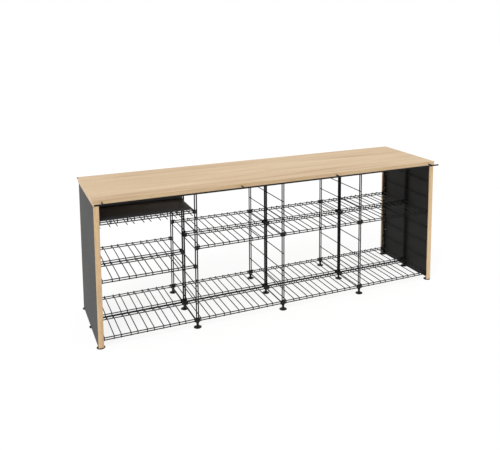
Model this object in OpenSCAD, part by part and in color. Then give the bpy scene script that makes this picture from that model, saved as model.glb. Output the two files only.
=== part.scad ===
/* [Counter] */
// Height of the worktop's upper face above the floor
counter_h = 1040; // [1000:5:1120]
// Distance from one ladder frame to the next
bay_pitch = 688; // [600:4:760]
// Thickness of the oak worktop
top_t = 40; // [32:1:50]
// How far the worktop stands past the end panels and the edge strips
top_overhang = 4; // [1:0.5:20]
// Chamfer along the worktop's edges
top_chamfer = 1.5; // [0.5:0.5:3]

/* [Ladder frames] */
// Distance from one row of stiles to the next
row_pitch = 330; // [290:5:400]
// Diameter of a stile rod
stile_d = 9; // [8.5:0.1:9.5]
// Distance between the two rods of a stile
stile_pitch = 15; // [14.5:0.1:15.5]
// Distance between the front and the rear ladder's stiles in the middle row
ladder_pitch = 11; // [10:0.5:18]
// Diameter of a rung
rung_d = 7; // [6:0.5:8]
// Height of the lowest rung above the floor
rung_first = 42; // [42:1:60]
// Distance from one rung to the next
rung_pitch = 135.5; // [120:0.5:140]
// Thickness of the flat bar that ties the tops of a frame's stiles
top_bar_t = 4; // [3:0.5:6]
// Width of this flat bar
top_bar_w = 25; // [20:1:25]

/* [Shelves] */
// Diameter of a shelf's rail wires
rail_d = 7.5; // [6:0.5:8]
// Distance between the upper and the lower wire of a rail
rail_gap = 16; // [14:0.5:20]
// Height of the lower rail wire above the middle of its rung
rail_lift = 6; // [5:0.5:10]
// Diameter of the wires that run from front to back
wire_d = 7; // [5:0.5:7]
// Diameter of a wire's turned down end, drawn a little thinner by its bend
leg_d = 6.5; // [4:0.5:6.5]
// Distance from one bottle slot to the next
slot_pitch = 115; // [105:1:130]
// Distance between the two wires of a bottle slot
slot_w = 67; // [55:1:75]
// Distance of the inner rails from the middle row of stiles
inner_rail = 24; // [24:0.5:40]

/* [Shelf clips] */
// Wall of a clip round its stile
clip_wall = 4; // [3:0.25:5]
// Wall of a clip round the rail wires
socket_wall = 2.5; // [1.5:0.25:3]
// Depth to which a rail's end sits in its socket
socket_depth = 5; // [3:0.5:6]
// Clearance of moulded parts on wires, stiles and rungs
clip_gap = 0.2; // [0.1:0.05:0.25]

/* [Glass rack] */
// Thickness of the tray on the glass shelf
tray_t = 3; // [2:0.5:5]
// Height of the lip along the tray's back edge
tray_lip = 20; // [10:1:30]
// Distance of the tray's ends from the frames' middle planes
tray_side = 20; // [16:0.5:30]
// Diameter of the rods that glasses hang on
rod_d = 6; // [5:0.5:8]
// Distance from the lower rail wire down to the rods, middle to middle
rod_drop = 22; // [20:1:40]
// Diameter of the stirrups that carry the rods
stirrup_d = 5; // [4:0.5:6]

/* [End panels] */
// Thickness of an end panel
panel_t = 5; // [3:0.5:8]
// Thickness of the oak strips along the panels' edges
strip_t = 10; // [8:0.5:18]
// Height of the panels and strips above the floor
panel_lift = 6.5; // [6.5:0.5:20]
// Gap between an end frame's rods and its panel
panel_gap = 0.8; // [0.5:0.1:3]
// Thickness of the tabs that carry the panels
tab_t = 3; // [2:0.5:4]
// Width and height of these tabs
tab_w = 20; // [18:1:24]
// Length of the spacers between the stiles and the oak strips
spacer_len = 8; // [5.5:0.5:12]

/* [Front and rear bars] */
// Diameter of the bars along the worktop's edges
bar_d = 12; // [8:0.5:16]
// Distance from the worktop's edge to the middle of a bar
bar_out = 54; // [40:1:80]
// Diameter of the pegs that carry the bars
peg_d = 10; // [8:0.5:12]
// Distance of the outer pegs from the worktop's ends
peg_end = 58; // [40:1:120]
// Place of the second peg, measured from the middle of the counter
peg_left = -344; // [-400:1:-250]
// Place of the third peg, measured from the middle of the counter
peg_right = 450; // [300:1:500]
// Diameter of a peg's spigot in the worktop
spigot_d = 6; // [5:0.5:8]
// Length of a peg's spigot
spigot_len = 22; // [15:1:30]

/* [Levelling feet] */
// Height of the stiles' lower ends above the floor, with the feet screwed in
foot_h = 33; // [31:0.5:34]
// Diameter of a foot's pad
pad_d = 58; // [46:1:60]
// Diameter of the stem
stem_d = 6; // [5:0.5:6]
// Length of the threaded block at a stile's lower end
block_len = 30; // [26:1:36]

/* [Screws] */
// Diameter of the wood screws and panel screws
wood_screw_d = 4.5; // [4:0.25:5]
// Depth of the wood screws in the worktop
wood_screw_grip = 28; // [15:1:28]

/* [Hidden] */
$fn = 48;
bays = 4;
rungs = 7;
seat_gap = 0.1;
stop_gap = 0.3;
half_gap = 0.2;
eps = 1;
stile_r = stile_d / 2;
stile_x = stile_pitch / 2;
stile_rows = [-row_pitch, -ladder_pitch / 2, ladder_pitch / 2, row_pitch];
top_z = counter_h - top_t;
stile_top = top_z - top_bar_t;
block_top = foot_h + block_len;
rung_len = row_pitch - ladder_pitch / 2 + stile_r / 2;
panel_x = stile_x + stile_r + panel_gap;
strip_w = 2 * (panel_x + panel_t);
strip_y = row_pitch + stile_r + spacer_len + 2 * seat_gap;
half_l = bays / 2 * bay_pitch + strip_w / 2 + top_overhang;
half_w = strip_y + strip_t + top_overhang;
wire_rise = (rail_d + wire_d) / 2 + seat_gap;
leg_y = (rail_d + leg_d) / 2 + seat_gap;
clip_h = rail_gap + rail_d + 2 * socket_wall;
clip_bore_r = stile_r + clip_gap;
socket_floor = 1.3;
clip_reach = stile_x + clip_bore_r + socket_floor + socket_depth;
rail_end = clip_reach - socket_depth;
wire_margin = clip_reach + wire_d / 2 + 0.5;
slots = floor((bay_pitch - 2 * wire_margin - slot_w) / slot_pitch) + 1;
wire_x0 = (bay_pitch - (slots - 1) * slot_pitch - slot_w) / 2;
wire_top = rail_gap + wire_rise + wire_d / 2;
glass_z = -rod_drop;
stem_gap = 0.08;
nut_af = 17;
hub_h = 22;
head_d = 9;
head_h = 3;
spacer_d = stile_pitch + 3;
// A screw's head between the two rods of a stile, measured from the stile's middle
strip_head_y = sqrt(stile_r * stile_r - (stile_x - head_d / 2) * (stile_x - head_d / 2)) + 2 * seat_gap;
bar_z = counter_h - top_t / 2;
front = 0;
middle = 1;
rear = 2;
// Shelf levels as [rung, first bay, last bay, halves]
bottom_level = 0;
low_level = 3;
high_level = 4;
glass_level = 6;

function frame_x(frame) = (frame - bays / 2) * bay_pitch;
function row_y(row) = (row - middle) * row_pitch;
function rung_z(rung) = rung_first + rung * rung_pitch;
// The wires of one shelf, measured from the middle plane of the frame on its left
function wire_x(wire) = wire_x0 + floor(wire / 2) * slot_pitch + (wire % 2) * slot_w;
// Pegs and screws keep between the rungs
function between_rungs(rung) = rung_z(rung) + rung_pitch / 2;
strip_screw_z = [between_rungs(0), between_rungs(2), between_rungs(4), between_rungs(6) - rung_pitch / 8];
panel_screw_z = [between_rungs(1), between_rungs(3), between_rungs(5)];
// Wood screws through a flat bar, as shares of the row pitch
bar_screw_rows = [-2 / 3, -1 / 3, 1 / 3, 2 / 3];
peg_places = [-half_l + peg_end, peg_left, peg_right, half_l - peg_end];

// A tab begins beside the outer rod and runs towards the next row
function row_depth(row) = row == middle ? ladder_pitch / 2 : 0;
function tab_side(row) = row == rear ? -1 : 1;
function tab_y(row) = row_y(row) + tab_side(row) * (row_depth(row) + stile_r / 2);
function panel_screw_y(row) = tab_y(row) + tab_side(row) * tab_w * 0.6;

// A round rod along Y with a small chamfer at both ends
module rod_y(y_a, y_b, d, tip = 0.6) {
    translate([0, y_a, 0])
        rotate([-90, 0, 0])
            rotate_extrude()
                polygon([[0, 0], [d / 2 - tip, 0], [d / 2, tip], [d / 2, y_b - y_a - tip],
                    [d / 2 - tip, y_b - y_a], [0, y_b - y_a]]);
}

// The same rod along X
module rod_x(x_a, x_b, d, tip = 0.6) {
    rotate([0, 0, -90])
        rod_y(x_a, x_b, d, tip);
}

// Laminated oak board, chamfered, with blind holes for its screws and the bars' pegs
module worktop() {
    color("burlywood")
        difference() {
            intersection() {
                translate([0, 0, top_z])
                    chamfered_slab(2 * half_l, 2 * half_w);
                translate([0, -half_w, bar_z])
                    rotate([-90, 0, 0])
                        chamfered_slab_outline(2 * half_l, top_t, 2 * half_w);
                translate([-half_l, 0, bar_z])
                    rotate([90, 0, 90])
                        chamfered_slab_outline(2 * half_w, top_t, 2 * half_l);
            }
            for (frame = [0 : bays], share = bar_screw_rows)
                translate([frame_x(frame), share * row_pitch, top_z - eps])
                    cylinder(d = wood_screw_d + 2 * seat_gap, h = wood_screw_grip + 2 * eps);
            for (x = peg_places, side = [-1, 1])
                translate([x, side * (half_w - spigot_len - eps), bar_z])
                    rotate([-90 * side, 0, 0])
                        cylinder(d = spigot_d + 2 * seat_gap, h = spigot_len + 2 * eps);
        }
}

module chamfered_slab(length, width) {
    linear_extrude(top_t)
        square([length, width], center = true);
}

// A board seen along one of its sides, with its four corners cut off
module chamfered_slab_outline(length, height, depth) {
    x = length / 2;
    y = height / 2;
    c = top_chamfer;
    linear_extrude(depth)
        polygon([[-x + c, -y], [x - c, -y], [x, -y + c], [x, y - c],
            [x - c, y], [-x + c, y], [-x, y - c], [-x, -y + c]]);
}

// A row's stiles seen from above, filled between their rods and made larger all round by a clearance
module stile_section(row, clearance) {
    r = stile_r + clearance;
    y = row_depth(row);
    for (side_x = [-1, 1], side_y = [-1, 1])
        translate([side_x * stile_x, side_y * y])
            circle(r = r);
    square([2 * stile_x, 2 * (y + r)], center = true);
    if (row == middle)
        square([2 * (stile_x + r), 2 * y], center = true);
}

// Two ladders, front and rear: each stile is two rods, and the rungs' ends stand between them
module ladder_frame(frame) {
    color("dimgray")
        translate([frame_x(frame), 0, 0]) {
            for (x = [-stile_x, stile_x], y = stile_rows)
                translate([x, y, block_top])
                    cylinder(r = stile_r, h = stile_top - block_top);
            for (rung = [0 : rungs - 1], side = [-1, 1])
                difference() {
                    translate([0, side * (row_pitch + ladder_pitch / 2) / 2, rung_z(rung)])
                        rotate([90, 0, 0])
                            cylinder(d = rung_d, h = rung_len, center = true);
                    if (rung == 0)
                        for (row = [front : rear])
                            translate([0, row_y(row), foot_h - eps])
                                linear_extrude(block_len + 2 * eps)
                                    stile_section(row, seat_gap);
                    else
                        for (x = [-stile_x, stile_x], y = stile_rows)
                            translate([x, y, rung_z(rung) - rung_d])
                                cylinder(r = stile_r + seat_gap, h = 2 * rung_d);
                }
        }
}

module frame_1() { ladder_frame(0); }
module frame_2() { ladder_frame(1); }
module frame_3() { ladder_frame(2); }
module frame_4() { ladder_frame(3); }
module frame_5() { ladder_frame(4); }

// Flat steel bars welded across the stiles' tops, drilled for the worktop's screws
module top_bars() {
    reach = row_pitch + stile_r + top_bar_t;
    color("dimgray")
        for (frame = [0 : bays])
            translate([frame_x(frame), 0, stile_top])
                difference() {
                    translate([-top_bar_w / 2, -reach, 0])
                        cube([top_bar_w, 2 * reach, top_bar_t]);
                    for (share = bar_screw_rows)
                        translate([0, share * row_pitch, -eps])
                            cylinder(d = wood_screw_d + 4 * seat_gap, h = top_bar_t + 2 * eps);
                }
}

// Threaded steel blocks, to which the stiles' rods and the lowest rungs are welded
module foot_blocks() {
    color("dimgray")
        for (frame = [0 : bays], row = [front : rear])
            translate([frame_x(frame), row_y(row), foot_h])
                difference() {
                    linear_extrude(block_len)
                        stile_section(row, 0);
                    translate([0, 0, -eps])
                        cylinder(r = stem_d / 2 + stem_gap, h = block_len + 2 * eps);
                }
}

// A pan head screw along -Z, its head standing on z = 0
module pan_screw(length) {
    rotate_extrude()
        polygon([[0, -length], [wood_screw_d / 4, -length], [wood_screw_d / 2, -length + wood_screw_d / 2],
            [wood_screw_d / 2, 0], [head_d / 2, 0], [head_d / 2, head_h / 2],
            [head_d / 2 - head_h / 4, head_h * 0.8], [head_d / 4, head_h], [0, head_h]]);
}

// Wood screws from under the flat bars into the worktop
module worktop_screws() {
    color("silver")
        for (frame = [0 : bays], share = bar_screw_rows)
            translate([frame_x(frame), share * row_pitch, stile_top - seat_gap])
                rotate([180, 0, 0])
                    pan_screw(top_bar_t + wood_screw_grip);
}

// Screws through the tabs into the panels, and between the rods into the oak strips
module fixing_screws() {
    panel_reach = tab_t + 3 * seat_gap + panel_t * 0.7;
    strip_reach = strip_head_y + strip_y - row_pitch + strip_t * 0.8;
    color("silver")
        for (end = [-1, 1])
            translate([end * frame_x(bays), 0, 0]) {
                for (row = [front : rear], z = panel_screw_z)
                    translate([end * (panel_x - tab_t - 2 * seat_gap), panel_screw_y(row), z])
                        rotate([0, -end * 90, 0])
                            pan_screw(panel_reach);
                for (side = [-1, 1], z = strip_screw_z)
                    translate([0, side * (row_pitch - strip_head_y), z])
                        rotate([side * 90, 0, 0])
                            pan_screw(strip_reach);
            }
}

// Tabs welded beside the outer rods of the end frames, drilled for the panels' screws
module panel_tabs() {
    color("dimgray")
        for (end = [-1, 1], row = [front : rear], z = panel_screw_z)
            translate([end * frame_x(bays), 0, z])
                difference() {
                    translate([end * (panel_x - seat_gap - tab_t / 2), tab_y(row) + tab_side(row) * tab_w / 2, 0])
                        cube([tab_t, tab_w, tab_w], center = true);
                    translate([end * stile_x, row_y(row) + tab_side(row) * row_depth(row), -tab_w])
                        cylinder(r = stile_r + seat_gap, h = 2 * tab_w);
                    translate([end * panel_x, panel_screw_y(row), 0])
                        rotate([0, 90, 0])
                            cylinder(d = wood_screw_d + 4 * seat_gap, h = 4 * tab_t, center = true);
                }
}

// Rings on the strips' screws, between the stiles and the strips
module strip_spacers() {
    color([0.08, 0.08, 0.08])
        for (end = [-1, 1], side = [-1, 1], z = strip_screw_z)
            translate([end * frame_x(bays), side * (row_pitch + stile_r + seat_gap), z])
                rotate([-90 * side, 0, 0])
                    difference() {
                        cylinder(d = spacer_d, h = spacer_len);
                        translate([0, 0, -eps])
                            cylinder(d = wood_screw_d + 4 * seat_gap, h = spacer_len + 2 * eps);
                    }
}

// Laminate sheet on the outside of an end frame, with blind holes for its screws
module end_panel(end) {
    reach = strip_y - seat_gap;
    color([0.14, 0.14, 0.135])
        difference() {
            translate([end * (frame_x(bays) + panel_x + panel_t / 2) - panel_t / 2, -reach, panel_lift])
                cube([panel_t, 2 * reach, top_z - seat_gap - panel_lift]);
            for (row = [front : rear], z = panel_screw_z)
                translate([end * (frame_x(bays) + panel_x + panel_t * 0.35), panel_screw_y(row), z])
                    rotate([0, 90, 0])
                        cylinder(d = wood_screw_d + 2 * seat_gap, h = panel_t * 0.9, center = true);
        }
}

module left_panel() { end_panel(-1); }
module right_panel() { end_panel(1); }

// Oak strip that closes the edge of an end panel, with blind holes for its screws
module edge_strip(end, side) {
    c = top_chamfer;
    color("burlywood")
        difference() {
            translate([end * frame_x(bays), side * (strip_y + strip_t / 2), panel_lift])
                linear_extrude(top_z - seat_gap - panel_lift)
                    polygon([[-strip_w / 2, -side * strip_t / 2], [strip_w / 2, -side * strip_t / 2],
                        [strip_w / 2, side * (strip_t / 2 - c)], [strip_w / 2 - c, side * strip_t / 2],
                        [c - strip_w / 2, side * strip_t / 2], [-strip_w / 2, side * (strip_t / 2 - c)]]);
            for (z = strip_screw_z)
                translate([end * frame_x(bays), side * (strip_y + strip_t * 0.35), z])
                    rotate([90, 0, 0])
                        cylinder(d = wood_screw_d + 2 * seat_gap, h = strip_t, center = true);
        }
}

module left_front_strip() { edge_strip(-1, -1); }
module left_rear_strip() { edge_strip(-1, 1); }
module right_front_strip() { edge_strip(1, -1); }
module right_rear_strip() { edge_strip(1, 1); }

// Front half of a welded wire shelf, its lower rail wires at z = 0 and its left frame at x = 0
module wire_shelf() {
    for (y = [-row_pitch, -inner_rail], z = [0, rail_gap])
        translate([0, y, z])
            rotate([0, 90, 0])
                translate([0, 0, rail_end])
                    cylinder(d = rail_d, h = bay_pitch - 2 * rail_end);
    for (wire = [0 : 2 * slots - 1])
        translate([wire_x(wire), 0, 0])
            cross_wire();
}

// A wire that lies on both rails, its ends turned down and welded to the outsides of the rail wires
module cross_wire() {
    end_y = leg_y + wire_d / 2;
    translate([0, -row_pitch - end_y, rail_gap + wire_rise])
        rotate([-90, 0, 0])
            cylinder(d = wire_d, h = row_pitch - inner_rail + 2 * end_y);
    for (y = [-row_pitch - leg_y, -inner_rail + leg_y])
        translate([0, y, -rail_d / 2])
            cylinder(d = leg_d, h = rail_d / 2 + rail_gap + wire_rise - wire_d / 4);
}

// One shelf in its bay: side -1 is the front half, 1 the rear half
module shelf(bay, level, side) {
    color("dimgray")
        translate([frame_x(bay - 1), 0, rung_z(level) + rail_lift])
            mirror([0, side > 0 ? 1 : 0, 0])
                wire_shelf();
}

module bay_1_bottom_front() { shelf(1, bottom_level, -1); }
module bay_1_bottom_rear() { shelf(1, bottom_level, 1); }
module bay_2_bottom_front() { shelf(2, bottom_level, -1); }
module bay_2_bottom_rear() { shelf(2, bottom_level, 1); }
module bay_3_bottom_front() { shelf(3, bottom_level, -1); }
module bay_3_bottom_rear() { shelf(3, bottom_level, 1); }
module bay_4_bottom_front() { shelf(4, bottom_level, -1); }
module bay_4_bottom_rear() { shelf(4, bottom_level, 1); }
module bay_1_low_front() { shelf(1, low_level, -1); }
module bay_1_low_rear() { shelf(1, low_level, 1); }
module bay_2_high_front() { shelf(2, high_level, -1); }
module bay_2_high_rear() { shelf(2, high_level, 1); }
module bay_3_high_front() { shelf(3, high_level, -1); }
module bay_3_high_rear() { shelf(3, high_level, 1); }
module bay_4_high_front() { shelf(4, high_level, -1); }
module bay_4_high_rear() { shelf(4, high_level, 1); }
module glass_shelf() { shelf(1, glass_level, -1); }

// Half of a clip, to the right of its frame: it stands on a rung and holds the rail ends of one shelf
// The shelf presses it on the stile, and two halves of one level meet in the frame's plane
module clip(row) {
    lug_w = rail_d + 2 * socket_wall;
    lugs = row == middle ? [-inner_rail, inner_rail] : [0];
    difference() {
        translate([0, 0, rail_lift - rail_d / 2 - socket_wall])
            linear_extrude(clip_h)
                difference() {
                    union() {
                        intersection() {
                            stile_section(row, clip_gap + clip_wall);
                            translate([half_gap, -row_pitch])
                                square(2 * row_pitch);
                        }
                        for (y = lugs)
                            translate([half_gap, y - lug_w / 2])
                                square([clip_reach - half_gap, lug_w]);
                        if (row == middle)
                            translate([half_gap, -inner_rail])
                                square([stile_x, 2 * inner_rail]);
                    }
                    stile_section(row, clip_gap);
                }
        for (y = lugs, z = [0, rail_gap])
            translate([rail_end - clip_gap, y, rail_lift + z])
                rotate([0, 90, 0])
                    cylinder(d = rail_d + 2 * clip_gap, h = socket_depth + clip_gap + eps);
        for (side = [-1, 1])
            if (row != middle + side)
                rotate([-90 * side, 0, 0])
                    cylinder(d = rung_d + 2 * clip_gap, h = 2 * inner_rail);
    }
}

// The clips of one shelf end: hand 1 stands right of its frame, -1 left of it
module clip_at(frame, row, level, hand) {
    translate([frame_x(frame), row_y(row), rung_z(level)])
        mirror([hand < 0 ? 1 : 0, 0, 0])
            clip(row);
}

module clips_of_row(row) {
    color([0.08, 0.08, 0.08]) {
        for (bay = [0 : bays - 1]) {
            clip_at(bay, row, bottom_level, 1);
            clip_at(bay + 1, row, bottom_level, -1);
        }
        for (bay = [1 : bays - 1]) {
            clip_at(bay, row, high_level, 1);
            clip_at(bay + 1, row, high_level, -1);
        }
        for (level = row == rear ? [low_level] : [low_level, glass_level]) {
            clip_at(0, row, level, 1);
            clip_at(1, row, level, -1);
        }
    }
}

module front_clips() { clips_of_row(front); }
module middle_clips() { clips_of_row(middle); }
module rear_clips() { clips_of_row(rear); }

// Sheet metal tray on the glass shelf, its back edge folded up into a lip
module glass_tray() {
    front_y = -row_pitch - leg_y - wire_d / 2;
    back_y = -inner_rail + leg_y;
    z = rung_z(glass_level) + rail_lift + wire_top + seat_gap;
    color([0.2, 0.19, 0.18])
        translate([frame_x(0) + tray_side, 0, z])
            rotate([90, 0, 90])
                linear_extrude(bay_pitch - 2 * tray_side)
                    polygon([[front_y, 0], [back_y, 0], [back_y, tray_lip], [back_y - tray_t, tray_lip],
                        [back_y - tray_t, tray_t], [front_y, tray_t]]);
}

// Rods under the glass shelf, with their free ends under its front rail
module glass_rods() {
    color("dimgray")
        translate([frame_x(0), 0, rung_z(glass_level) + rail_lift + glass_z])
            for (wire = [0 : 2 * slots - 1])
                translate([wire_x(wire), 0, 0])
                    rod_y(-row_pitch, -inner_rail, rod_d);
}

// Stirrups that hang the rods from the shelf's wires, between the glass slots and at both sides
module glass_stirrups() {
    low_z = glass_z - (rod_d + stirrup_d) / 2 - seat_gap;
    high_z = rail_gap + wire_rise - (wire_d + stirrup_d) / 2 - seat_gap;
    color("dimgray")
        translate([frame_x(0), 0, rung_z(glass_level) + rail_lift])
            for (y = [-row_pitch * 0.72, -row_pitch * 0.2], pair = [0 : slots]) {
                left = wire_x(max(2 * pair - 1, 0));
                right = wire_x(min(2 * pair, 2 * slots - 1));
                beside = (rod_d + stirrup_d) / 2 * (pair == 0 ? -1 : pair == slots ? 1 : 0);
                stem_x = (left + right) / 2 + beside;
                translate([0, y, low_z])
                    rod_x(min(left, stem_x) - rod_d / 2, max(right, stem_x) + rod_d / 2, stirrup_d);
                translate([0, y, high_z])
                    rod_x(min(left, stem_x) - wire_d / 2, max(right, stem_x) + wire_d / 2, stirrup_d);
                translate([stem_x, y, low_z])
                    cylinder(d = stirrup_d - 1, h = high_z - low_z);
            }
}

// Round bar along the worktop's front or rear edge
module edge_bar(side) {
    color("dimgray")
        translate([0, side * (half_w + bar_out), bar_z])
            rod_x(-half_l, half_l, bar_d, 1.2);
}

module front_bar() { edge_bar(-1); }
module rear_bar() { edge_bar(1); }

// Pegs between the worktop's edges and the bars, each with a spigot in the worktop
module bar_pegs() {
    color("dimgray")
        for (x = peg_places, side = [-1, 1])
            translate([x, side * half_w, bar_z])
                difference() {
                    rotate([-90 * side, 0, 0])
                        translate([0, 0, -spigot_len])
                            rotate_extrude()
                                polygon([[0, 0], [spigot_d / 2, 0], [spigot_d / 2, spigot_len + seat_gap],
                                    [peg_d / 2, spigot_len + seat_gap], [peg_d / 2, spigot_len + bar_out],
                                    [0, spigot_len + bar_out]]);
                    translate([-peg_d, side * bar_out, 0])
                        rotate([0, 90, 0])
                            cylinder(d = bar_d + 2 * seat_gap, h = 2 * peg_d);
                }
}

// Levelling foot: a low pad with a hub, a hexagon to turn it by and a stem
module foot(frame, row) {
    pad_r = pad_d / 2;
    hub_r = nut_af / 2 + 1;
    nut_top = foot_h - stop_gap;
    color([0.08, 0.08, 0.08])
        translate([frame_x(frame), row_y(row), 0]) {
            rotate_extrude()
                polygon([[0, 0], [pad_r - 1.5, 0], [pad_r, 1.5], [pad_r, 3], [pad_r - 1.2, 3.8],
                    [pad_r * 0.5, 5.2], [hub_r + 2.5, 6.4], [hub_r + 0.8, 8.5], [hub_r, 12],
                    [hub_r - 0.5, hub_h], [0, hub_h]]);
            translate([0, 0, hub_h])
                cylinder(d = nut_af / cos(30), h = nut_top - hub_h, $fn = 6);
            translate([0, 0, nut_top])
                cylinder(d = stem_d, h = block_len - 2);
        }
}

module foot_1_front() { foot(0, front); }
module foot_1_middle() { foot(0, middle); }
module foot_1_rear() { foot(0, rear); }
module foot_2_front() { foot(1, front); }
module foot_2_middle() { foot(1, middle); }
module foot_2_rear() { foot(1, rear); }
module foot_3_front() { foot(2, front); }
module foot_3_middle() { foot(2, middle); }
module foot_3_rear() { foot(2, rear); }
module foot_4_front() { foot(3, front); }
module foot_4_middle() { foot(3, middle); }
module foot_4_rear() { foot(3, rear); }
module foot_5_front() { foot(4, front); }
module foot_5_middle() { foot(4, middle); }
module foot_5_rear() { foot(4, rear); }

worktop();
frame_1();
frame_2();
frame_3();
frame_4();
frame_5();
top_bars();
left_panel();
right_panel();
left_front_strip();
left_rear_strip();
right_front_strip();
right_rear_strip();
bay_1_bottom_front();
bay_1_bottom_rear();
bay_2_bottom_front();
bay_2_bottom_rear();
bay_3_bottom_front();
bay_3_bottom_rear();
bay_4_bottom_front();
bay_4_bottom_rear();
bay_1_low_front();
bay_1_low_rear();
bay_2_high_front();
bay_2_high_rear();
bay_3_high_front();
bay_3_high_rear();
bay_4_high_front();
bay_4_high_rear();
glass_shelf();
front_clips();
middle_clips();
rear_clips();
glass_tray();
glass_rods();
glass_stirrups();
front_bar();
rear_bar();
bar_pegs();
foot_blocks();
panel_tabs();
strip_spacers();
worktop_screws();
fixing_screws();
foot_1_front();
foot_1_middle();
foot_1_rear();
foot_2_front();
foot_2_middle();
foot_2_rear();
foot_3_front();
foot_3_middle();
foot_3_rear();
foot_4_front();
foot_4_middle();
foot_4_rear();
foot_5_front();
foot_5_middle();
foot_5_rear();
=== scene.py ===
import bpy
import bmesh
import math
from mathutils import Matrix, Vector


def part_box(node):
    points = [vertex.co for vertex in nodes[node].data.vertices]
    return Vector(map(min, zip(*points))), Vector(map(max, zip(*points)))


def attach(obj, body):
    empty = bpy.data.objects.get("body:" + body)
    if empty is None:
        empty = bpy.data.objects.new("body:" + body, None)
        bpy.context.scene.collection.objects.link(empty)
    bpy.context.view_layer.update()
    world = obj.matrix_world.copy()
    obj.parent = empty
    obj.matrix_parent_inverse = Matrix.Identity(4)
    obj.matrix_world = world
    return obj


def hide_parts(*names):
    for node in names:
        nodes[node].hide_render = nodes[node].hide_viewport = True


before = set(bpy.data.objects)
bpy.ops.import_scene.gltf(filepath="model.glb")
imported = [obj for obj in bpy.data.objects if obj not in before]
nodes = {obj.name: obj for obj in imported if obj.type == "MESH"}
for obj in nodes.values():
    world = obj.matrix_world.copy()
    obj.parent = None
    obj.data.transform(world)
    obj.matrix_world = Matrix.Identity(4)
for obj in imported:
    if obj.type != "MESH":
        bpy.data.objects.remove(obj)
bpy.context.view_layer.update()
scene = bpy.context.scene
scene.view_settings.view_transform = "Standard"


# Camera
# It stands in front of the counter's left end, a little over two metres up, and looks along
# the front to the right. The picture is cut from the lower part of a wider view.
image_w = 500
image_h = 450
focal_px = 632.19
centre_px = (278.67, 102.01)
sensor_w = 36
eye = Vector((-1.99408, -4.53728, 2.20134))
yaw = 0.43583
pitch = 0.12515
roll = -0.0016
forward = Vector((math.sin(yaw) * math.cos(pitch), math.cos(yaw) * math.cos(pitch), -math.sin(pitch)))
level = Vector((math.cos(yaw), -math.sin(yaw), 0))
upright = level.cross(forward)
right = math.cos(roll) * level + math.sin(roll) * upright
up = -math.sin(roll) * level + math.cos(roll) * upright
camera_data = bpy.data.cameras.new("camera")
camera_data.sensor_width = sensor_w
camera_data.lens = focal_px * sensor_w / image_w
camera_data.shift_x = -(centre_px[0] - image_w / 2) / image_w
camera_data.shift_y = (centre_px[1] - image_h / 2) / image_w
camera_data.clip_end = 100
camera = bpy.data.objects.new("camera", camera_data)
scene.collection.objects.link(camera)
camera.matrix_world = Matrix((
    (right.x, up.x, -forward.x, eye.x),
    (right.y, up.y, -forward.y, eye.y),
    (right.z, up.z, -forward.z, eye.z),
    (0, 0, 0, 1)))
scene.camera = camera


# Studio
# A white studio: an even white sky, one large soft lamp from the front, left and above, and a
# white floor that keeps a faint shadow of the counter.
def new_material(name):
    material = bpy.data.materials.new(name)
    material.use_nodes = True
    tree = material.node_tree
    tree.nodes.clear()
    output = tree.nodes.new("ShaderNodeOutputMaterial")
    return material, tree, output


def seen_directly(tree):
    path = tree.nodes.new("ShaderNodeLightPath")
    first = tree.nodes.new("ShaderNodeMath")
    first.operation = "MAXIMUM"
    second = tree.nodes.new("ShaderNodeMath")
    second.operation = "MAXIMUM"
    tree.links.new(path.outputs["Is Camera Ray"], first.inputs[0])
    tree.links.new(path.outputs["Is Glossy Ray"], first.inputs[1])
    tree.links.new(first.outputs[0], second.inputs[0])
    tree.links.new(path.outputs["Is Transmission Ray"], second.inputs[1])
    return second.outputs[0]


def grey(amount):
    return (amount, amount, amount, 1)


sky = bpy.data.worlds.new("sky")
sky.use_nodes = True
sky_tree = sky.node_tree
sky_tree.nodes.clear()
sky_output = sky_tree.nodes.new("ShaderNodeOutputWorld")
sky_mix = sky_tree.nodes.new("ShaderNodeMixShader")
sky_light = sky_tree.nodes.new("ShaderNodeBackground")
sky_light.inputs["Color"].default_value = grey(1)
sky_light.inputs["Strength"].default_value = 0.66
sky_seen = sky_tree.nodes.new("ShaderNodeBackground")
sky_seen.inputs["Color"].default_value = grey(1)
sky_seen.inputs["Strength"].default_value = 1.0
sky_tree.links.new(seen_directly(sky_tree), sky_mix.inputs["Fac"])
sky_tree.links.new(sky_light.outputs[0], sky_mix.inputs[1])
sky_tree.links.new(sky_seen.outputs[0], sky_mix.inputs[2])
sky_tree.links.new(sky_mix.outputs[0], sky_output.inputs["Surface"])
scene.world = sky

lamp_from = Vector((-0.6, -0.62, 0.82))
lamp_data = bpy.data.lights.new("lamp", "SUN")
lamp_data.energy = 1.27
lamp_data.angle = math.radians(35)
lamp = bpy.data.objects.new("lamp", lamp_data)
scene.collection.objects.link(lamp)
lamp.rotation_euler = lamp_from.to_track_quat("Z", "Y").to_euler()

floor_paint, floor_tree, floor_output = new_material("floor_paint")
floor_mix = floor_tree.nodes.new("ShaderNodeMixShader")
floor_matte = floor_tree.nodes.new("ShaderNodeBsdfDiffuse")
floor_matte.inputs["Color"].default_value = grey(0.8)
floor_pale = floor_tree.nodes.new("ShaderNodeBsdfDiffuse")
floor_pale.inputs["Color"].default_value = grey(0.17)
floor_glow = floor_tree.nodes.new("ShaderNodeEmission")
floor_glow.inputs["Color"].default_value = grey(1)
floor_glow.inputs["Strength"].default_value = 0.87
floor_sum = floor_tree.nodes.new("ShaderNodeAddShader")
floor_tree.links.new(floor_pale.outputs[0], floor_sum.inputs[0])
floor_tree.links.new(floor_glow.outputs[0], floor_sum.inputs[1])
floor_tree.links.new(seen_directly(floor_tree), floor_mix.inputs["Fac"])
floor_tree.links.new(floor_matte.outputs[0], floor_mix.inputs[1])
floor_tree.links.new(floor_sum.outputs[0], floor_mix.inputs[2])
floor_tree.links.new(floor_mix.outputs[0], floor_output.inputs["Surface"])
reach = 40
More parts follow.
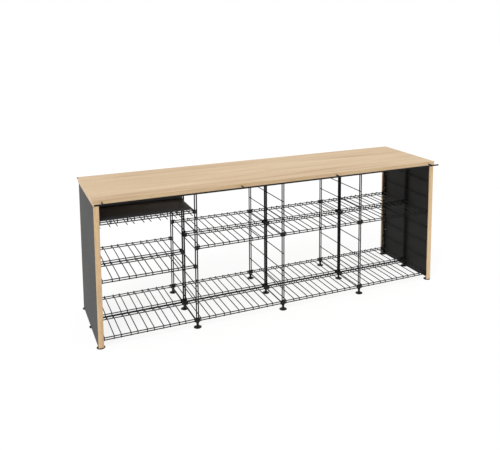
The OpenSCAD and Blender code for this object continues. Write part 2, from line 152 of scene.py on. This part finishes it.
floor_corners = [(-reach, -reach, 0), (reach, -reach, 0), (reach, reach, 0), (-reach, reach, 0)]
floor_mesh = bpy.data.meshes.new("floor")
floor_mesh.from_pydata(floor_corners, [], [(0, 1, 2, 3)])
floor_mesh.materials.append(floor_paint)
floor = bpy.data.objects.new("floor", floor_mesh)
scene.collection.objects.link(floor)


# Worktop
# A 40 mm board of light oak, oiled, its grain along the counter, with soft darker streaks and
# short fine pores. It lies on the frames' flat bars and is screwed down from below.
def dress(name, material):
    mesh = nodes[name].data
    mesh.materials.clear()
    mesh.materials.append(material)


def stretch_in(tree, source, scale):
    stretch = tree.nodes.new("ShaderNodeMapping")
    stretch.inputs["Scale"].default_value = scale
    tree.links.new(source, stretch.inputs["Vector"])
    return stretch.outputs["Vector"]


def noise_in(tree, source, scale, detail):
    noise = tree.nodes.new("ShaderNodeTexNoise")
    noise.inputs["Scale"].default_value = scale
    noise.inputs["Detail"].default_value = detail
    tree.links.new(source, noise.inputs["Vector"])
    return noise


def ramp_in(tree, source, stops):
    ramp = tree.nodes.new("ShaderNodeValToRGB")
    elements = ramp.color_ramp.elements
    elements[0].position = stops[0][0]
    elements[0].color = (*stops[0][1], 1)
    elements[1].position = stops[-1][0]
    elements[1].color = (*stops[-1][1], 1)
    for place, colour in stops[1:-1]:
        elements.new(place).color = (*colour, 1)
    tree.links.new(source, ramp.inputs["Fac"])
    return ramp.outputs["Color"]


def darken_in(tree, under, over, factor):
    mix = tree.nodes.new("ShaderNodeMix")
    mix.data_type = "RGBA"
    mix.blend_type = "MULTIPLY"
    mix.inputs["Factor"].default_value = factor
    tree.links.new(under, mix.inputs["A"])
    tree.links.new(over, mix.inputs["B"])
    return mix.outputs["Result"]


def shine_in(tree, source, lowest, highest):
    shine = tree.nodes.new("ShaderNodeMapRange")
    shine.inputs["To Min"].default_value = lowest
    shine.inputs["To Max"].default_value = highest
    tree.links.new(source, shine.inputs["Value"])
    return shine.outputs["Result"]


def relief_in(tree, source, strength, depth):
    relief = tree.nodes.new("ShaderNodeBump")
    relief.inputs["Strength"].default_value = strength
    relief.inputs["Distance"].default_value = depth
    tree.links.new(source, relief.inputs["Height"])
    return relief.outputs["Normal"]


def surface_in(tree, output, colour, normal):
    surface = tree.nodes.new("ShaderNodeBsdfPrincipled")
    tree.links.new(colour, surface.inputs["Base Color"])
    tree.links.new(normal, surface.inputs["Normal"])
    tree.links.new(surface.outputs[0], output.inputs["Surface"])
    return surface


def oak(name, turn, shift, tones):
    material, tree, output = new_material(name)
    place = tree.nodes.new("ShaderNodeTexCoord")
    along = tree.nodes.new("ShaderNodeMapping")
    along.inputs["Rotation"].default_value = turn
    along.inputs["Location"].default_value = shift
    tree.links.new(place.outputs["Object"], along.inputs["Vector"])
    grain = along.outputs["Vector"]
    figure = noise_in(tree, stretch_in(tree, grain, (0.55, 9, 9)), scale=1.6, detail=6)
    figure.inputs["Roughness"].default_value = 0.62
    figure.inputs["Distortion"].default_value = 0.7
    fibre = noise_in(tree, stretch_in(tree, grain, (3, 160, 160)), scale=1, detail=3)
    pore = noise_in(tree, stretch_in(tree, grain, (40, 900, 900)), scale=1, detail=1)
    broad = ramp_in(tree, figure.outputs["Fac"], tones)
    fine = ramp_in(tree, fibre.outputs["Fac"], [(0.32, (0.86, 0.84, 0.80)), (0.6, (1, 1, 1))])
    pores = ramp_in(tree, pore.outputs["Fac"], [(0.30, (0.62, 0.53, 0.43)), (0.40, (1, 1, 1))])
    tint = darken_in(tree, broad, fine, factor=0.55)
    colour = darken_in(tree, tint, pores, factor=0.7)
    normal = relief_in(tree, fibre.outputs["Fac"], strength=0.12, depth=0.0004)
    surface = surface_in(tree, output, colour, normal)
    shine = shine_in(tree, fibre.outputs["Fac"], 0.42, 0.56)
    tree.links.new(shine, surface.inputs["Roughness"])
    return material


board_turn = (0, 0, 0)
board_shift = (0, 0, 0.37)
board_tones = [
    (0.33, (0.59, 0.39, 0.205)), (0.45, (0.70, 0.495, 0.29)),
    (0.55, (0.74, 0.54, 0.325)), (0.68, (0.79, 0.60, 0.385))]
oak_board = oak("oak_board", board_turn, board_shift, board_tones)
dress("worktop", oak_board)


# Ladder frames
# A front and a rear ladder side by side, each stile two 9 mm steel rods with the ends of the
# 7 mm rungs welded between them. Powder coated black, over the small weld beads too.
def coated_steel(name, low, high, roughness, gloss, grain, bump):
    material, tree, output = new_material(name)
    place = tree.nodes.new("ShaderNodeTexCoord")
    clouds = noise_in(tree, place.outputs["Object"], scale=9, detail=4)
    colour = ramp_in(tree, clouds.outputs["Fac"], [(0.35, low), (0.68, high)])
    peel = noise_in(tree, place.outputs["Object"], scale=grain, detail=2)
    normal = relief_in(tree, peel.outputs["Fac"], strength=bump, depth=0.0003)
    surface = surface_in(tree, output, colour, normal)
    surface.inputs["Specular IOR Level"].default_value = gloss
    shine = shine_in(tree, peel.outputs["Fac"], roughness - 0.05, roughness + 0.06)
    tree.links.new(shine, surface.inputs["Roughness"])
    return material


def inputs_for(tree, sockets):
    for name, kind in sockets:
        tree.interface.new_socket(name=name, in_out="INPUT", socket_type="NodeSocket" + kind)
    tree.interface.new_socket(name="Geometry", in_out="OUTPUT", socket_type="NodeSocketGeometry")
    return tree.nodes.new("NodeGroupInput"), tree.nodes.new("NodeGroupOutput")


def worked_out(tree, operation, a, b):
    made = tree.nodes.new("ShaderNodeMath")
    made.operation = operation
    for index, value in enumerate((a, b)):
        if isinstance(value, (int, float)):
            made.inputs[index].default_value = value
        else:
            tree.links.new(value, made.inputs[index])
    return made.outputs[0]


def offset_in(tree, x, y, z):
    made = tree.nodes.new("ShaderNodeCombineXYZ")
    for index, value in enumerate((x, y, z)):
        if isinstance(value, (int, float)):
            made.inputs[index].default_value = value
        else:
            tree.links.new(value, made.inputs[index])
    return made.outputs[0]


def round_wire(tree, path, radius, sides, capped):
    profile = tree.nodes.new("GeometryNodeCurvePrimitiveCircle")
    profile.inputs["Resolution"].default_value = sides
    tree.links.new(radius, profile.inputs["Radius"])
    wire = tree.nodes.new("GeometryNodeCurveToMesh")
    wire.inputs["Fill Caps"].default_value = capped
    tree.links.new(path, wire.inputs["Curve"])
    tree.links.new(profile.outputs["Curve"], wire.inputs["Profile Curve"])
    return wire.outputs["Mesh"]


def moved(tree, piece, offset, turn=(0, 0, 0)):
    move = tree.nodes.new("GeometryNodeTransform")
    move.inputs["Rotation"].default_value = turn
    tree.links.new(offset, move.inputs["Translation"])
    tree.links.new(piece, move.inputs["Geometry"])
    return move.outputs["Geometry"]


def row_of(tree, piece, count, start, step):
    line = tree.nodes.new("GeometryNodeMeshLine")
    tree.links.new(count, line.inputs["Count"])
    tree.links.new(start, line.inputs["Start Location"])
    tree.links.new(step, line.inputs["Offset"])
    pieces = tree.nodes.new("GeometryNodeInstanceOnPoints")
    tree.links.new(line.outputs["Mesh"], pieces.inputs["Points"])
    tree.links.new(piece, pieces.inputs["Instance"])
    return pieces.outputs["Instances"]


def coat_and_close(tree, pieces, material, output):
    real = tree.nodes.new("GeometryNodeRealizeInstances")
    tree.links.new(pieces, real.inputs["Geometry"])
    smooth = tree.nodes.new("GeometryNodeSetShadeSmooth")
    tree.links.new(real.outputs["Geometry"], smooth.inputs["Geometry"])
    coat = tree.nodes.new("GeometryNodeSetMaterial")
    tree.links.new(smooth.outputs["Geometry"], coat.inputs["Geometry"])
    tree.links.new(material, coat.inputs["Material"])
    tree.links.new(coat.outputs["Geometry"], output.inputs["Geometry"])


def socket_of(tree, name):
    for item in tree.interface.items_tree:
        if item.item_type == "SOCKET" and item.in_out == "INPUT" and item.name == name:
            return item.identifier


def grow(name, base, tree, values):
    seed = bpy.data.objects.new(name + "_seed", base)
    scene.collection.objects.link(seed)
    growth = seed.modifiers.new("growth", "NODES")
    growth.node_group = tree
    for key, value in values.items():
        growth[socket_of(tree, key)] = value
    bpy.context.view_layer.update()
    grown = seed.evaluated_get(bpy.context.evaluated_depsgraph_get())
    mesh = bpy.data.meshes.new_from_object(grown)
    seed.modifiers.remove(growth)
    bpy.data.objects.remove(seed)
    piece = bpy.data.objects.new(name, mesh)
    mesh.name = name
    scene.collection.objects.link(piece)
    return piece


frame_coat = coated_steel(
    "frame_coat", (0.006, 0.006, 0.006), (0.010, 0.010, 0.0097), roughness=0.42, gloss=0.15,
    grain=900, bump=0.25)
frames_x = (-1.376, -0.688, 0, 0.688, 1.376)
row_pitch = 0.33
stile_x = 0.0075
stile_r = 0.0045
ladder_pitch = 0.011
rung_first = 0.042
rung_pitch = 0.1355
welded_rungs = 6
bead_r = 0.0009
bead_sides = 6
bead_ring_r = 0.0023
bead_ring_steps = 12
bead_x = stile_x - stile_r + bead_r / 3

weld_tree = bpy.data.node_groups.new("rung_welds", "GeometryNodeTree")
weld_in, weld_out = inputs_for(weld_tree, [
    ("First Bead", "Vector"), ("Rung Pitch", "Float"), ("Rungs", "Int"), ("Outer Row", "Float"),
    ("Inner Row", "Float"), ("Beside Rung", "Float"), ("Ring Radius", "Float"), ("Bead Radius", "Float"),
    ("Material", "Material")])
weld = weld_in.outputs
bead_ring = weld_tree.nodes.new("GeometryNodeCurvePrimitiveCircle")
bead_ring.inputs["Resolution"].default_value = bead_ring_steps
weld_tree.links.new(weld["Ring Radius"], bead_ring.inputs["Radius"])
bead = round_wire(weld_tree, bead_ring.outputs["Curve"], weld["Bead Radius"], bead_sides, False)
beads = weld_tree.nodes.new("GeometryNodeJoinGeometry")
for side_x in (-1, 1):
    for side_y in (-1, 1):
        for row in (weld["Outer Row"], weld["Inner Row"]):
            beside = worked_out(weld_tree, "MULTIPLY", weld["Beside Rung"], side_x)
            along = worked_out(weld_tree, "MULTIPLY", row, side_y)
            offset = offset_in(weld_tree, beside, along, 0)
            placed = moved(weld_tree, bead, offset, turn=(0, math.pi / 2, 0))
            weld_tree.links.new(placed, beads.inputs["Geometry"])
next_rung = offset_in(weld_tree, 0, 0, weld["Rung Pitch"])
welded = row_of(weld_tree, beads.outputs["Geometry"], weld["Rungs"], weld["First Bead"], next_rung)
coat_and_close(weld_tree, welded, weld["Material"], weld_out)

for number, frame_x in enumerate(frames_x, 1):
    dress(f"frame_{number}", frame_coat)
    welds = grow(f"welds_{number}", bpy.data.meshes.new("point"), weld_tree, {
        "First Bead": (frame_x, 0, rung_first + rung_pitch), "Rung Pitch": rung_pitch,
        "Rungs": welded_rungs, "Outer Row": row_pitch, "Inner Row": ladder_pitch / 2,
        "Beside Rung": bead_x, "Ring Radius": bead_ring_r, "Bead Radius": bead_r,
        "Material": frame_coat})
    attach(welds, "counter")
dress("foot_blocks", frame_coat)
dress("panel_tabs", frame_coat)


# Flat bars and screws
# Flat steel bars are welded across the stiles' tops and carry the board. Zinc plated pan head
# screws hold the board from below, and the panels and strips from inside.
def zinc(name):
    material, tree, output = new_material(name)
    place = tree.nodes.new("ShaderNodeTexCoord")
    clouds = noise_in(tree, place.outputs["Object"], scale=160, detail=3)
    colour = ramp_in(tree, clouds.outputs["Fac"], [(0.3, (0.46, 0.46, 0.47)), (0.7, (0.62, 0.62, 0.62))])
    surface = tree.nodes.new("ShaderNodeBsdfPrincipled")
    surface.inputs["Metallic"].default_value = 1
    surface.inputs["Roughness"].default_value = 0.33
    tree.links.new(colour, surface.inputs["Base Color"])
    tree.links.new(surface.outputs[0], output.inputs["Surface"])
    return material


screw_zinc = zinc("screw_zinc")
dress("top_bars", frame_coat)
for name in ("worktop_screws", "fixing_screws"):
    dress(name, screw_zinc)


# Wire shelves
# Each shelf is welded from round wire and powder coated: two double rails, and cross wires in
# pairs, a bottle's width apart, whose ends bend down round the rails and are welded to them.
wire_coat = coated_steel(
    "wire_coat", (0.004, 0.004, 0.004), (0.008, 0.008, 0.0077), roughness=0.42, gloss=0.14,
    grain=1400, bump=0.2)
bay_pitch = 0.688
rail_d = 0.0075
rail_sides = 12
rail_gap = 0.016
rail_lift = 0.006
rail_end = 0.0135
inner_rail = 0.024
wire_d = 0.007
wire_sides = 10
weld_sink = 0.00015
wire_bend = (rail_d + wire_d) / 2
bend_steps = 4
leg_y = wire_bend - weld_sink
leg_end = -0.001
wire_top = rail_gap + wire_bend - weld_sink
slot_pitch = 0.115
slot_w = 0.067
slots = 6
wire_first = (bay_pitch - (slots - 1) * slot_pitch - slot_w) / 2
bottom_rung = 0
low_rung = 3
high_rung = 4
glass_rung = 6

shelf_tree = bpy.data.node_groups.new("wire_shelf", "GeometryNodeTree")
shelf_in, shelf_out = inputs_for(shelf_tree, [
    ("Cross Wire", "Geometry"), ("Corner", "Vector"), ("Wire Radius", "Float"), ("Bend", "Float"),
    ("First Wire", "Float"), ("Slot Width", "Float"), ("Slot Pitch", "Float"), ("Slots", "Int"),
    ("Rail Radius", "Float"), ("Rail Start", "Float"), ("Rail Length", "Float"),
    ("Outer Rail", "Float"), ("Inner Rail", "Float"), ("Rail Gap", "Float"), ("Material", "Material")])
wanted = shelf_in.outputs
wire_path = shelf_tree.nodes.new("GeometryNodeMeshToCurve")
shelf_tree.links.new(wanted["Cross Wire"], wire_path.inputs["Mesh"])
wire_bent = shelf_tree.nodes.new("GeometryNodeFilletCurve")
wire_bent.mode = "POLY"
wire_bent.inputs["Count"].default_value = bend_steps
wire_bent.inputs["Limit Radius"].default_value = True
shelf_tree.links.new(wire_path.outputs["Curve"], wire_bent.inputs["Curve"])
shelf_tree.links.new(wanted["Bend"], wire_bent.inputs["Radius"])
cross_wire = round_wire(shelf_tree, wire_bent.outputs["Curve"], wanted["Wire Radius"], wire_sides, True)
shelf_parts = shelf_tree.nodes.new("GeometryNodeJoinGeometry")
second_wire = worked_out(shelf_tree, "ADD", wanted["First Wire"], wanted["Slot Width"])
for start in (wanted["First Wire"], second_wire):
    first_place = offset_in(shelf_tree, start, 0, 0)
    next_slot = offset_in(shelf_tree, wanted["Slot Pitch"], 0, 0)
    wires = row_of(shelf_tree, cross_wire, wanted["Slots"], first_place, next_slot)
    shelf_tree.links.new(wires, shelf_parts.inputs["Geometry"])
rail_path = shelf_tree.nodes.new("GeometryNodeCurvePrimitiveLine")
rail_far = worked_out(shelf_tree, "ADD", wanted["Rail Start"], wanted["Rail Length"])
shelf_tree.links.new(offset_in(shelf_tree, wanted["Rail Start"], 0, 0), rail_path.inputs["Start"])
shelf_tree.links.new(offset_in(shelf_tree, rail_far, 0, 0), rail_path.inputs["End"])
rail_wire = round_wire(shelf_tree, rail_path.outputs["Curve"], wanted["Rail Radius"], rail_sides, True)
for row in (wanted["Outer Rail"], wanted["Inner Rail"]):
    for height in (0, wanted["Rail Gap"]):
        placed = moved(shelf_tree, rail_wire, offset_in(shelf_tree, 0, row, height))
        shelf_tree.links.new(placed, shelf_parts.inputs["Geometry"])
whole_shelf = moved(shelf_tree, shelf_parts.outputs["Geometry"], wanted["Corner"])
coat_and_close(shelf_tree, whole_shelf, wanted["Material"], shelf_out)

shelf_places = []
for level_name, rung, bays in (
        ("bottom", bottom_rung, (1, 2, 3, 4)), ("low", low_rung, (1,)), ("high", high_rung, (2, 3, 4))):
    for bay in bays:
        for half in ("front", "rear"):
            shelf_places.append((f"bay_{bay}_{level_name}_{half}", bay, rung, half))
shelf_places.append(("glass_shelf", 1, glass_rung, "front"))
for name, bay, rung, half in shelf_places:
    side = -1 if half == "front" else 1
    outer = side * row_pitch
    inner = side * inner_rail
    outer_leg = outer + side * leg_y
    inner_leg = inner - side * leg_y
    path = bpy.data.meshes.new("cross_wire")
    path.from_pydata([
        (0, outer_leg, leg_end), (0, outer_leg, wire_top),
        (0, inner_leg, wire_top), (0, inner_leg, leg_end)], [(0, 1), (1, 2), (2, 3)], [])
    shelf = grow("wires_" + name, path, shelf_tree, {
        "Corner": (frames_x[bay - 1], 0, rung_first + rung * rung_pitch + rail_lift),
        "Wire Radius": wire_d / 2, "Bend": wire_bend, "First Wire": wire_first, "Slot Width": slot_w,
        "Slot Pitch": slot_pitch, "Slots": slots, "Rail Radius": rail_d / 2, "Rail Start": rail_end,
        "Rail Length": bay_pitch - 2 * rail_end, "Outer Rail": outer, "Inner Rail": inner,
        "Rail Gap": rail_gap, "Material": wire_coat})
    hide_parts(name)
    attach(shelf, "counter")


# Shelf clips
# Moulded black nylon, as the spacers behind the oak strips are. Each clip half wraps a stile's
# rod, stands on a rung, and takes the ends of the rail wires in its sockets.
def moulded(name, low, high, roughness, gloss):
    material, tree, output = new_material(name)
    place = tree.nodes.new("ShaderNodeTexCoord")
    clouds = noise_in(tree, place.outputs["Object"], scale=45, detail=3)
    colour = ramp_in(tree, clouds.outputs["Fac"], [(0.35, low), (0.65, high)])
    spark = tree.nodes.new("ShaderNodeTexVoronoi")
    spark.inputs["Scale"].default_value = 1800
    tree.links.new(place.outputs["Object"], spark.inputs["Vector"])
    normal = relief_in(tree, spark.outputs["Distance"], strength=0.15, depth=0.0002)
    surface = surface_in(tree, output, colour, normal)
    surface.inputs["Roughness"].default_value = roughness
    surface.inputs["Specular IOR Level"].default_value = gloss
    return material


same_point = 0.000001
flat_angle = math.radians(1)
edge_angle = math.radians(50)


def soften(name, width):
    shape = bmesh.new()
    shape.from_mesh(nodes[name].data)
    bmesh.ops.remove_doubles(shape, verts=shape.verts, dist=same_point)
    bmesh.ops.dissolve_limit(shape, angle_limit=flat_angle, verts=shape.verts, edges=shape.edges)
    mesh = bpy.data.meshes.new(name + "_rounded")
    shape.to_mesh(mesh)
    shape.free()
    mesh.shade_smooth()
    mesh.set_sharp_from_angle(angle=edge_angle)
    mesh.materials.append(nodes[name].data.materials[0])
    piece = bpy.data.objects.new(name + "_rounded", mesh)
    scene.collection.objects.link(piece)
    edges = piece.modifiers.new("edges", "BEVEL")
    edges.width = width
    edges.segments = 2
    edges.limit_method = "ANGLE"
    edges.angle_limit = edge_angle
    edges.harden_normals = True
    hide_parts(name)
    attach(piece, "counter")


clip_edge = 0.0006
clip_nylon = moulded(
    "clip_nylon", (0.007, 0.007, 0.007), (0.012, 0.012, 0.012), roughness=0.5, gloss=0.2)
dress("strip_spacers", clip_nylon)
for name in ("front_clips", "middle_clips", "rear_clips"):
    dress(name, clip_nylon)
    soften(name, clip_edge)


# Glass rack
# A folded sheet steel tray lies on the top shelf of the left bay. Under that shelf, straight
# rods hang on stirrups, and glasses slide in between them by their feet.
tray_coat = coated_steel(
    "tray_coat", (0.034, 0.036, 0.040), (0.044, 0.0465, 0.052), roughness=0.5, gloss=0.27,
    grain=700, bump=0.2)
tray_edge = 0.0009
dress("glass_tray", tray_coat)
soften("glass_tray", tray_edge)
dress("glass_rods", wire_coat)
dress("glass_stirrups", wire_coat)


# End panels and edge strips
# Thin dark laminate sheets close both ends, screwed to tabs; their inner faces are painted darker, as
# painted shade inside the counter. Oak strips, screwed from between the end stiles' rods, cover their
# edges, with the grain upright; their oak is painted lighter than the board's, as painted light on the
# upright faces.
def laminate(name, face_x):
    material, tree, output = new_material(name)
    place = tree.nodes.new("ShaderNodeTexCoord")
    clouds = noise_in(tree, place.outputs["Object"], scale=3, detail=5)
    outer = ramp_in(tree, clouds.outputs["Fac"], [
        (0.3, (0.055, 0.055, 0.054)), (0.7, (0.068, 0.068, 0.067))])
    # The inner faces get this darker colour: painted shade inside the counter.
    painted_shade_inside = ramp_in(tree, clouds.outputs["Fac"], [
        (0.3, (0.021, 0.021, 0.0205)), (0.7, (0.028, 0.028, 0.0275))])
    across = tree.nodes.new("ShaderNodeSeparateXYZ")
    tree.links.new(place.outputs["Object"], across.inputs["Vector"])
    from_middle = worked_out(tree, "ABSOLUTE", across.outputs["X"], 0)
    outside = worked_out(tree, "GREATER_THAN", from_middle, face_x)
    sides = tree.nodes.new("ShaderNodeMix")
    sides.data_type = "RGBA"
    tree.links.new(outside, sides.inputs["Factor"])
    tree.links.new(painted_shade_inside, sides.inputs["A"])
    tree.links.new(outer, sides.inputs["B"])
    press = noise_in(tree, place.outputs["Object"], scale=1200, detail=2)
    normal = relief_in(tree, press.outputs["Fac"], strength=0.1, depth=0.0002)
    surface = surface_in(tree, output, sides.outputs["Result"], normal)
    surface.inputs["Roughness"].default_value = 0.62
    surface.inputs["Specular IOR Level"].default_value = 0.15
    return material


panel_low, panel_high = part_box("right_panel")
dark_laminate = laminate("dark_laminate", (panel_low[0] + panel_high[0]) / 2)
dress("left_panel", dark_laminate)
dress("right_panel", dark_laminate)
strip_turn = (0, math.pi / 2, 0)
strip_shift = (0, 0.73, 0)
# The strips' oak is painted lighter and warmer than the board's: painted light standing in for the light
# on their upright faces.
painted_light_strip_tones = [
    (0.32, (0.60, 0.38, 0.195)), (0.44, (0.76, 0.53, 0.30)),
    (0.54, (0.81, 0.58, 0.335)), (0.68, (0.86, 0.64, 0.385))]
oak_upright_painted_light = oak("oak_upright_painted_light", strip_turn, strip_shift, painted_light_strip_tones)
for name in ("left_front_strip", "left_rear_strip", "right_front_strip", "right_rear_strip"):
    dress(name, oak_upright_painted_light)


# Front and rear bars
# Round steel bars stand off both long edges of the worktop on short pegs that are plugged into
# the board's edge, for cloths and bags.
for name in ("front_bar", "rear_bar", "bar_pegs"):
    dress(name, frame_coat)


# Levelling feet
# Each foot is a low pad of moulded black plastic with a hexagon and a stem that screws into the
# block under its stile, so that the counter can be set level.
foot_black = moulded(
    "foot_black", (0.005, 0.005, 0.005), (0.009, 0.009, 0.009), roughness=0.45, gloss=0.2)
for number in range(1, len(frames_x) + 1):
    for row in ("front", "middle", "rear"):
        dress(f"foot_{number}_{row}", foot_black)
